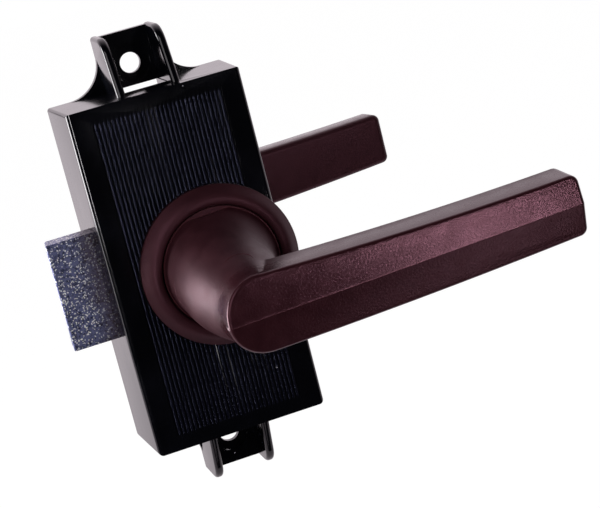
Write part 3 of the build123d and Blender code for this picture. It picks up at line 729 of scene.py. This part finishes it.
class GeometryRecipe(NodeTree):
    """A Geometry Nodes tree that makes one piece, with named inputs for its sizes."""

    def __init__(self, name: str, finish: Finish) -> None:
        """Starts the tree.

        Args:
            name: Name of the tree and of the piece.
            finish: Finish that Set Material gives at the end.
        """
        super().__init__(bpy.data.node_groups.new(name, "GeometryNodeTree"))
        self.name = name
        self.finish = finish
        for way in ("INPUT", "OUTPUT"):
            self.tree.interface.new_socket("Geometry", in_out=way, socket_type="NodeSocketGeometry")
        self.start = self.add("NodeGroupInput")
        self.values: dict[str, float | int] = {}

    def size(self, name: str, value: float | int) -> Socket:
        """Adds a named input for a size or a count.

        Args:
            name: Name of the input.
            value: Its value on this piece.

        Returns:
            The socket inside the tree.
        """
        kind = "NodeSocketInt" if isinstance(value, int) else "NodeSocketFloat"
        self.tree.interface.new_socket(name, in_out="INPUT", socket_type=kind)
        self.values[name] = value
        return self.start.outputs[name]

    def moved(self, geometry: object, shift: object, turn: Point = (0.0, 0.0, 0.0)) -> Socket:
        """Turns and then moves geometry.

        Args:
            geometry: Geometry socket.
            shift: Translation value or socket.
            turn: Rotation about X, Y and Z in radians.

        Returns:
            The geometry socket.
        """
        node = self.add("GeometryNodeTransform", Geometry=geometry, Translation=shift, Rotation=turn)
        return node.outputs[0]

    def joined(self, *parts: Socket) -> Socket:
        """Joins several geometries into one."""
        node = self.add("GeometryNodeJoinGeometry")
        for part in parts:
            self.feed(node.inputs[0], part)
        return node.outputs[0]

    def make(self, geometry: Socket, smooth_degrees: float) -> Piece:
        """Ends the tree, runs it on an empty mesh and bakes the result.

        Args:
            geometry: Geometry socket that holds the finished piece.
            smooth_degrees: Edges that turn more than this stay sharp.

        Returns:
            The piece as a plain mesh at the origin.
        """
        real = self.add("GeometryNodeRealizeInstances", Geometry=geometry).outputs[0]
        dressed = self.add("GeometryNodeSetMaterial", Geometry=real, Material=self.finish.material)
        end = self.add("NodeGroupOutput")
        self.feed(end.inputs[0], dressed.outputs[0])
        seed = new_piece(self.name + "_seed", bpy.data.meshes.new(self.name + "_seed"))
        modifier = seed.modifiers.new(self.name, "NODES")
        modifier.node_group = self.tree
        for item in self.tree.interface.items_tree:
            if item.in_out == "INPUT" and item.name in self.values:
                modifier[item.identifier] = self.values[item.name]
        return baked_piece(seed, self.name, smooth_degrees)


@dataclass
class CoilSpring:
    """Compression spring along X, one unbroken wire."""

    name: str
    node: str
    radius: float
    wire: float
    turns: int
    joint: str
    held_at_low_end: bool
    kept_length: float

    def build(self, finish: Finish) -> Piece:
        """Winds the spring between the ends of its node.

        Args:
            finish: Finish of the wire.

        Returns:
            The spring.
        """
        low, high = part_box(self.node)
        tree = GeometryRecipe(self.name, finish)
        reach = tree.size("Coil Radius", self.radius)
        turns = tree.size("Turns", float(self.turns))
        length = tree.size("Length", high[0] - low[0] - self.wire)
        wire = tree.size("Wire Radius", self.wire / 2)
        ends = {"Start_Radius": reach, "End_Radius": reach, "Height": length}
        spiral = tree.add("GeometryNodeCurveSpiral", Resolution=24, Rotations=turns, **ends)
        ring = tree.add("GeometryNodeCurvePrimitiveCircle", Resolution=10, Radius=wire)
        sweep = tree.add("GeometryNodeCurveToMesh", Curve=spiral.outputs[0], Profile_Curve=ring.outputs[0])
        sweep.inputs["Fill Caps"].default_value = True
        start = (low[0] + self.wire / 2, (low[1] + high[1]) / 2, (low[2] + high[2]) / 2)
        placed = tree.moved(sweep.outputs[0], start, (0.0, math.pi / 2, 0.0))
        piece = tree.make(placed, smooth_degrees=60.0)
        finish_piece(piece, finish, Body.CASE, self.node)
        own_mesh(piece)
        return piece


@dataclass
class CrossScrews:
    """Countersunk screws with a cross recess, all alike, at the corners of a rectangle on a flat face."""

    name: str
    node: str
    head_radius: float
    shank_radius: float
    inwards: float
    columns: int
    rows: int
    recess_width: float = 0.55 * MM
    recess_depth: float = 0.9 * MM
    recess_reach: float = 1.15
    turn_seed: int = 7

    def build(self, finish: Finish) -> Piece:
        """Makes one screw and places it at each corner.

        Args:
            finish: Finish of the screws.

        Returns:
            All screws as one piece.
        """
        low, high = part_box(self.node)
        face = low[1] if self.inwards > 0 else high[1]
        tree = GeometryRecipe(self.name, finish)
        head_r = tree.size("Head Radius", self.head_radius)
        shank_r = tree.size("Shank Radius", self.shank_radius)
        head_h = tree.size("Head Height", self.head_radius - self.shank_radius)
        long = tree.size("Length", high[1] - low[1])
        arm = tree.size("Recess Width", self.recess_width)
        deep = tree.size("Recess Depth", self.recess_depth)
        cone = {"Radius_Top": shank_r, "Radius_Bottom": head_r, "Depth": head_h}
        head = tree.add("GeometryNodeMeshCone", Vertices=40, **cone)
        shank = tree.add("GeometryNodeMeshCylinder", Vertices=24, Radius=shank_r, Depth=long)
        rise = tree.vector(Z=tree.math("MULTIPLY", long, 0.5))
        span = tree.math("MULTIPLY", head_r, self.recess_reach)
        twice = tree.math("MULTIPLY", deep, 2.0)
        cut = tree.add("GeometryNodeMeshBoolean", {"operation": "DIFFERENCE", "solver": "EXACT"})
        for across, along in ((span, arm), (arm, span)):
            slot = tree.add("GeometryNodeMeshCube", Size=tree.vector(X=across, Y=along, Z=twice))
            tree.feed(cut.inputs["Mesh 2"], slot.outputs[0])
        solid = tree.add("GeometryNodeMeshBoolean", {"operation": "UNION", "solver": "EXACT"})
        tree.feed(solid.inputs["Mesh 2"], head.outputs[0])
        tree.feed(solid.inputs["Mesh 2"], tree.moved(shank.outputs[0], rise))
        tree.feed(cut.inputs["Mesh 1"], solid.outputs[0])
        spread_x = tree.size("Spread X", high[0] - low[0] - 2 * self.head_radius)
        spread_z = tree.size("Spread Z", high[2] - low[2] - 2 * self.head_radius)
        grid = {"Vertices_X": self.columns, "Vertices_Y": self.rows}
        corners = tree.add("GeometryNodeMeshGrid", Size_X=spread_x, Size_Y=spread_z, **grid)
        points = tree.add("GeometryNodeMeshToPoints", Mesh=corners.outputs[0]).outputs[0]
        turn = tree.add("FunctionNodeRandomValue", {"data_type": "FLOAT"}, Seed=self.turn_seed)
        turn.inputs[3].default_value = math.pi
        spin = tree.vector(Z=turn.outputs[1])
        screw = cut.outputs[0]
        placed = tree.add("GeometryNodeInstanceOnPoints", Points=points, Instance=screw, Rotation=spin)
        tip = -math.pi / 2 if self.inwards > 0 else math.pi / 2
        centre = ((low[0] + high[0]) / 2, face, (low[2] + high[2]) / 2)
        screws = tree.moved(placed.outputs[0], centre, (tip, 0.0, 0.0))
        piece = tree.make(screws, smooth_degrees=30.0)
        finish_piece(piece, finish, Body.CASE, self.node)
        return piece


@dataclass
class PanelRibs:
    """Rounded crests of the upright ribs on the case front, which stop short of the rose."""

    count: int = 30
    pitch: float = 1.35 * MM
    width: float = 0.80 * MM
    rise: float = 0.24 * MM
    height: float = 100.0 * MM
    front: float = -27.0 * MM
    rose_radius: float = 25.15 * MM
    rose_place: tuple[float, float] = (6.3 * MM, -2.0 * MM)

    def build(self, finish: Finish) -> Piece:
        """Makes one rib above and one below the rose for each step of the pitch.

        Args:
            finish: Finish of the ribs.

        Returns:
            All ribs as one piece.
        """
        tree = GeometryRecipe("panel_ribs", finish)
        pitch = tree.size("Pitch", self.pitch)
        half_width = tree.size("Half Width", self.width / 2)
        rise = tree.size("Rise", self.rise)
        half_height = tree.size("Half Height", self.height / 2)
        radius = tree.size("Rose Radius", self.rose_radius)
        step = tree.vector(X=pitch)
        start = tree.vector(X=tree.math("MULTIPLY", pitch, -(self.count - 1) / 2))
        line = tree.add("GeometryNodeMeshLine", Count=self.count, Start_Location=start, Offset=step)
        points = tree.add("GeometryNodeMeshToPoints", Mesh=line.outputs[0]).outputs[0]
        across = tree.part(tree.add("GeometryNodeInputPosition").outputs[0], "X")
        aside = tree.math("SUBTRACT", across, self.rose_place[0])
        left = tree.math("SUBTRACT", tree.math("MULTIPLY", radius, radius), tree.math("MULTIPLY", aside, aside))
        chord = tree.math("SQRT", tree.math("MAXIMUM", left, 0.0))
        over = tree.math("ADD", chord, self.rose_place[1])
        under = tree.math("SUBTRACT", self.rose_place[1], chord)
        bottom = tree.math("MULTIPLY", half_height, -1.0)
        profile = tree.vector(X=half_width, Y=rise, Z=1.0)
        bar = tree.add("GeometryNodeMeshCylinder", Vertices=16, Radius=1.0, Depth=1.0).outputs[0]
        bar = tree.add("GeometryNodeTransform", Geometry=bar, Translation=(0.0, 0.0, 0.5)).outputs[0]
        bar = tree.add("GeometryNodeTransform", Geometry=bar, Scale=profile).outputs[0]
        runs = []
        for low, high in ((over, half_height), (bottom, under)):
            shift = tree.vector(Y=self.front, Z=low)
            long = tree.vector(X=1.0, Y=1.0, Z=tree.math("SUBTRACT", high, low))
            kept = tree.add("GeometryNodeCaptureAttribute", Geometry=points)
            kept.capture_items.new("VECTOR", "Long")
            tree.feed(kept.inputs["Long"], long)
            placed = tree.add("GeometryNodeSetPosition", Geometry=kept.outputs[0], Offset=shift).outputs[0]
            scale = kept.outputs["Long"]
            run = tree.add("GeometryNodeInstanceOnPoints", Points=placed, Instance=bar, Scale=scale)
            runs.append(run.outputs[0])
        piece = tree.make(tree.joined(*runs), smooth_degrees=50.0)
        finish_piece(piece, finish, Body.CASE)
        return piece


@dataclass
class GrubScrews:
    """Hexagon socket screws under the levers' necks, along Z."""

    node: str = "grub_screws"
    radius: float = 2.5 * MM
    socket_radius: float = 1.45 * MM
    socket_depth: float = 2.2 * MM
    edge: float = 0.2 * MM

    def build(self, finish: Finish) -> Piece:
        """Makes one screw for each lever.

        Args:
            finish: Finish of the screws.

        Returns:
            Both screws as one piece.
        """
        low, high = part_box(self.node)
        tree = GeometryRecipe("grub_screw_pair", finish)
        radius = tree.size("Radius", self.radius)
        length = tree.size("Length", high[2] - low[2])
        socket = tree.size("Socket Radius", self.socket_radius)
        depth = tree.size("Socket Depth", self.socket_depth)
        spread = tree.size("Spread", high[1] - low[1] - 2 * self.radius)
        body = tree.add("GeometryNodeMeshCylinder", Vertices=32, Radius=radius, Depth=length).outputs[0]
        twice = tree.math("MULTIPLY", depth, 2.0)
        hexagon = tree.add("GeometryNodeMeshCylinder", Vertices=6, Radius=socket, Depth=twice)
        foot = tree.vector(Z=tree.math("MULTIPLY", length, -0.5))
        cut = tree.add("GeometryNodeMeshBoolean", {"operation": "DIFFERENCE", "solver": "EXACT"})
        tree.feed(cut.inputs["Mesh 1"], body)
        tree.feed(cut.inputs["Mesh 2"], tree.moved(hexagon.outputs[0], foot))
        middle = ((low[0] + high[0]) / 2, low[1] + self.radius, (low[2] + high[2]) / 2)
        step = tree.vector(Y=spread)
        line = tree.add("GeometryNodeMeshLine", Count=2, Start_Location=middle, Offset=step)
        points = tree.add("GeometryNodeMeshToPoints", Mesh=line.outputs[0]).outputs[0]
        placed = tree.add("GeometryNodeInstanceOnPoints", Points=points, Instance=cut.outputs[0])
        piece = tree.make(placed.outputs[0], smooth_degrees=30.0)
        round_edges(piece, self.edge, degrees=30.0)
        finish_piece(piece, finish, Body.HANDLES, self.node)
        return piece


@dataclass(frozen=True)
class MouldMark:
    """Fine raised line that the mould or its gate left, traced in the camera's picture."""

    name: str
    traced: tuple[tuple[float, float], ...]
    thickness: float = 0.34 * MM
    end_share: float = 0.2

    def build(self, carrier: Piece, camera: "PhotoCamera", finish: Finish, body: Body) -> Piece:
        """Lays a thin wire, half sunk, along the traced points.

        Args:
            carrier: Piece that carries the mark.
            camera: Camera whose picture the points belong to.
            finish: Finish of the mark.
            body: The body that the carrier rides on.

        Returns:
            The mark.
        """
        skin = BVHTree.FromObject(carrier, bpy.context.evaluated_depsgraph_get())
        hits = [skin.ray_cast(Vector(camera.place), camera.ray(*point))[0] for point in self.traced]
        hits = [hit for hit in hits if hit is not None]
        data = bpy.data.curves.new(self.name, "CURVE")
        data.dimensions = "3D"
        data.bevel_depth = self.thickness / 2
        data.bevel_resolution = 2
        data.use_fill_caps = True
        spline = data.splines.new("NURBS")
        spline.points.add(len(hits) - 1)
        for point, hit in zip(spline.points, hits):
            point.co = (*hit, 1.0)
        for end in (spline.points[0], spline.points[-1]):
            end.radius = self.end_share
        spline.order_u = 3
        spline.use_endpoint_u = True
        piece = baked_piece(new_piece(self.name + "_wire", data), self.name, degrees=60.0)
        finish_piece(piece, finish, body)
        return piece


@dataclass
class Case:
    """The black case with its ribbed front and its back plate."""

    moulding: Rounding = Rounding(0.10 * MM)
    plate: Rounding = Rounding(0.25 * MM)

    def build(self, finishes: dict[type, Finish]) -> None:
        """Builds the case's pieces.

        Args:
            finishes: Every finish by its class.
        """
        dressed_copy("case_body", "case_moulding", finishes[CasePlastic], Body.CASE, self.moulding)
        dressed_copy("back_plate", "door_side_plate", finishes[PlatedSteel], Body.CASE, self.plate)
        PanelRibs().build(finishes[RibPlastic])


@dataclass
class HandleSet:
    """Both levers with their roses, the moulding marks on the front one and the grub screws."""

    lever: Rounding = Rounding(0.9 * MM, 18.0, 20.0, 3)
    rose: Rounding = Rounding(0.15 * MM)
    gate_mark: MouldMark = MouldMark(
        "neck_gate_mark",
        ((223, 266), (225.5, 260.5), (231, 256.5), (238, 254.2), (245, 253.8), (251, 255.3), (253.8, 258.6)),
    )
    flash_mark: MouldMark = MouldMark(
        "neck_flash_mark",
        ((174.0, 278), (174.4, 284), (175.2, 290), (177.2, 295), (178.8, 300), (182.0, 304), (183.5, 309)),
    )

    def build(self, finishes: dict[type, Finish], camera: "PhotoCamera") -> None:
        """Builds the handle set.

        Args:
            finishes: Every finish by its class.
            camera: Camera whose picture shows the marks.
        """
        plastic = finishes[HandlePlastic]
        for side in ("front", "rear"):
            lever = dressed_copy(side + "_lever", side + "_lever_moulding", plastic, Body.HANDLES, self.lever)
            dressed_copy(side + "_rose", side + "_rose_ring", plastic, Body.CASE, self.rose)
            if side == "front":
                for mark in (self.gate_mark, self.flash_mark):
                    mark.build(lever, camera, plastic, Body.HANDLES)
        GrubScrews().build(finishes[BlackOxide])


@dataclass(frozen=True)
class PhotoCamera:
    """Camera at the photograph's viewing angle."""

    place: Point = (-0.1100, -0.6140, 0.1361)
    azimuth: float = 13.556
    tilt_down: float = 13.294
    roll: float = 14.228
    lens: float = 120.0
    sensor: float = 36.0
    nearest: float = 0.01
    image: tuple[int, int] = (600, 508)

    def axes(self) -> tuple[Vector, Vector, Vector]:
        """Works out how the camera lies.

        Returns:
            Directions to the right, up and forward.
        """
        turn, down, roll = (math.radians(angle) for angle in (self.azimuth, self.tilt_down, self.roll))
        forward = Vector((math.sin(turn) * math.cos(down), math.cos(turn) * math.cos(down), -math.sin(down)))
        across = forward.cross(Vector((0.0, 0.0, 1.0))).normalized()
        up = across.cross(forward)
        rolled_up = up * math.cos(roll) + across * math.sin(roll)
        rolled_across = across * math.cos(roll) - up * math.sin(roll)
        return rolled_across, rolled_up, forward

    def ray(self, column: float, row: float) -> Vector:
        """Gives the direction in which a point of the picture is seen."""
        across, up, forward = self.axes()
        width, height = self.image
        reach = self.lens / self.sensor * width
        return (forward * reach + across * (column - width / 2) - up * (row - height / 2)).normalized()

    def build(self) -> None:
        """Makes the camera the scene's own."""
        across, up, forward = self.axes()
        data = bpy.data.cameras.new("photo_camera")
        data.lens = self.lens
        data.sensor_width = self.sensor
        data.clip_start = self.nearest
        camera = bpy.data.objects.new("photo_camera", data)
        rows = Matrix((across, up, -forward)).transposed()
        camera.matrix_world = Matrix.Translation(self.place) @ rows.to_4x4()
        bpy.context.scene.collection.objects.link(camera)
        bpy.context.scene.camera = camera


@dataclass(frozen=True)
class SoftBox:
    """A large soft lamp that points at the lock."""

    name: str
    place: Point
    width: float
    height: float
    power: float

    def build(self) -> None:
        """Adds the lamp."""
        data = bpy.data.lights.new(self.name, "AREA")
        data.shape = "RECTANGLE"
        data.size = self.width
        data.size_y = self.height
        data.energy = self.power
        lamp = bpy.data.objects.new(self.name, data)
        lamp.location = self.place
        lamp.rotation_mode = "QUATERNION"
        lamp.rotation_quaternion = (-Vector(self.place)).to_track_quat("-Z", "Y")
        lamp.visible_camera = False
        bpy.context.scene.collection.objects.link(lamp)


@dataclass(frozen=True)
class Studio:
    """Pale floor that ends in front of the lock, white surroundings behind it and soft lamps."""

    floor_depth: float = 0.45
    floor_reach: float = 6.0
    floor_front: float = -0.2
    floor_paint: Colour = (0.82, 0.82, 0.82)
    floor_roughness: float = 0.9
    camera_share: float = 0.92
    camera_level: float = 1.06
    mirrored_colour: Colour = (1.0, 0.91, 0.965)
    mirrored_reach: tuple[float, float] = (0.5, 2.6)
    mirrored_level: tuple[float, float] = (0.70, 1.15)
    around_colour: Colour = (1.0, 0.90, 0.96)
    around_level: tuple[float, float] = (1.0, 0.012)
    dark_side: Point = (-0.35, -0.93, 0.0)
    darkening: tuple[float, float] = (-0.75, 0.10)
    lamps: tuple[SoftBox, ...] = (
        SoftBox("left_side_box", (-1.00, 0.45, 0.12), 0.7, 0.7, 20.0),
        SoftBox("left_front_box", (-0.80, -0.95, 0.80), 1.0, 1.0, 6.0),
        SoftBox("left_strip", (-0.75, -1.10, -0.08), 0.16, 0.30, 3.0),
        SoftBox("right_front_box", (0.49, -1.30, 0.20), 0.14, 0.18, 2.3),
        SoftBox("right_low_box", (0.49, -0.97, -0.84), 0.16, 0.20, 0.34),
    )

    def build(self) -> None:
        """Builds the floor, the surroundings and the lamps."""
        self._build_floor()
        self._build_world()
        for lamp in self.lamps:
            lamp.build()

    def _build_floor(self) -> None:
        """Makes the pale floor: white with a faint shadow, rosy where it is mirrored, else like paint."""
        side, front, back, depth = self.floor_reach, self.floor_front, self.floor_reach, -self.floor_depth
        mesh = bpy.data.meshes.new("pale_floor")
        corners = [(-side, front, depth), (side, front, depth), (side, back, depth), (-side, back, depth)]
        mesh.from_pydata(corners, [], [(0, 1, 2, 3)])
        floor = new_piece("pale_floor", mesh)
        material = bpy.data.materials.new("pale_floor")
        material.use_nodes = True
        tree = NodeTree(material.node_tree)
        shader = material.node_tree.nodes["Principled BSDF"]
        shader.inputs["Base Color"].default_value = _rgba(self.floor_paint)
        shader.inputs["Roughness"].default_value = self.floor_roughness
        away = tree.part(tree.add("ShaderNodeNewGeometry").outputs["Position"], "Y")
        level = tree.ramp(away, *self.mirrored_reach, *self.mirrored_level)
        sheen = tree.add("ShaderNodeEmission", Color=_rgba(self.mirrored_colour), Strength=level)
        plain = tree.add("ShaderNodeEmission", Strength=self.camera_level)
        path = tree.add("ShaderNodeLightPath").outputs
        mirrored = tree.math("MAXIMUM", path["Is Glossy Ray"], path["Is Transmission Ray"])
        inner = tree.add("ShaderNodeMixShader", i0=mirrored, i1=shader.outputs[0], i2=sheen.outputs[0])
        seen = tree.math("MULTIPLY", path["Is Camera Ray"], self.camera_share)
        outer = tree.add("ShaderNodeMixShader", i0=seen, i1=inner.outputs[0], i2=plain.outputs[0])
        tree.feed(material.node_tree.nodes["Material Output"].inputs["Surface"], outer.outputs[0])
        floor.data.materials.append(material)

    def _build_world(self) -> None:
        """Makes surroundings that are white to the camera and dark on the side that the case front faces."""
        world = bpy.data.worlds.new("studio")
        bpy.context.scene.world = world
        world.use_nodes = True
        tree = NodeTree(world.node_tree)
        tree.tree.nodes.clear()
        way = tree.add("ShaderNodeTexCoord").outputs["Generated"]
        facing = tree.dot(way, tuple(Vector(self.dark_side).normalized()))
        level = tree.ramp(facing, *self.darkening, *self.around_level)
        around = tree.add("ShaderNodeBackground", Color=_rgba(self.around_colour), Strength=level)
        seen = tree.add("ShaderNodeBackground", Color=(1.0, 1.0, 1.0, 1.0))
        camera = tree.add("ShaderNodeLightPath").outputs["Is Camera Ray"]
        mix = tree.add("ShaderNodeMixShader", i0=camera, i1=around.outputs[0], i2=seen.outputs[0])
        out = tree.add("ShaderNodeOutputWorld")
        tree.feed(out.inputs["Surface"], mix.outputs[0])


def dress_frame_nodes(finishes: dict[type, Finish]) -> None:
    """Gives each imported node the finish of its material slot.

    Args:
        finishes: Every finish by its class.
    """
    by_slot = {finish.slot.value: finish for finish in finishes.values()}
    for part in frame["record"]["subparts"]:
        node = frame["nodes"][part["node"]]
        for slot in node.material_slots:
            slot.material = by_slot[part["material_slot"]].material


BOLT_ROUNDING = Rounding(0.15 * MM)
SCREWS = (
    CrossScrews("plate_screw_set", "plate_screws", 2.5 * MM, 1.25 * MM, -1.0, 2, 2),
    CrossScrews("rose_screw_pair", "rose_screws", 2.9 * MM, 1.5 * MM, 1.0, 1, 2),
)
SPRINGS = (
    CoilSpring("bolt_spring_coil", "bolt_spring", 2.05 * MM, 0.7 * MM, 16, "bolt_slide", False, 0.64),
    CoilSpring("lever_spring_coil", "lever_spring", 2.3 * MM, 0.8 * MM, 10, "lever_turn", True, 0.575),
)


def main() -> None:
    """Builds the lock, the studio and the camera."""
    logging.basicConfig(level=logging.INFO)
    bpy.context.scene.view_settings.view_transform = "Standard"
    effects = SurfaceEffects()
    finishes = {kind: kind(effects) for kind in FINISHES}
    dress_frame_nodes(finishes)
    finishes[RibPlastic] = RibPlastic(effects)
    camera = PhotoCamera()
    Case().build(finishes)
    HandleSet().build(finishes, camera)
    dressed_copy("latch_bolt", "bolt_bar", finishes[SinteredMetal], Body.LATCH, BOLT_ROUNDING)
    for screws in SCREWS:
        screws.build(finishes[PlatedSteel])
    for spring in SPRINGS:
        spring.build(finishes[SpringWire])
    Studio().build()
    camera.build()


if __name__ == "__main__":
    main()
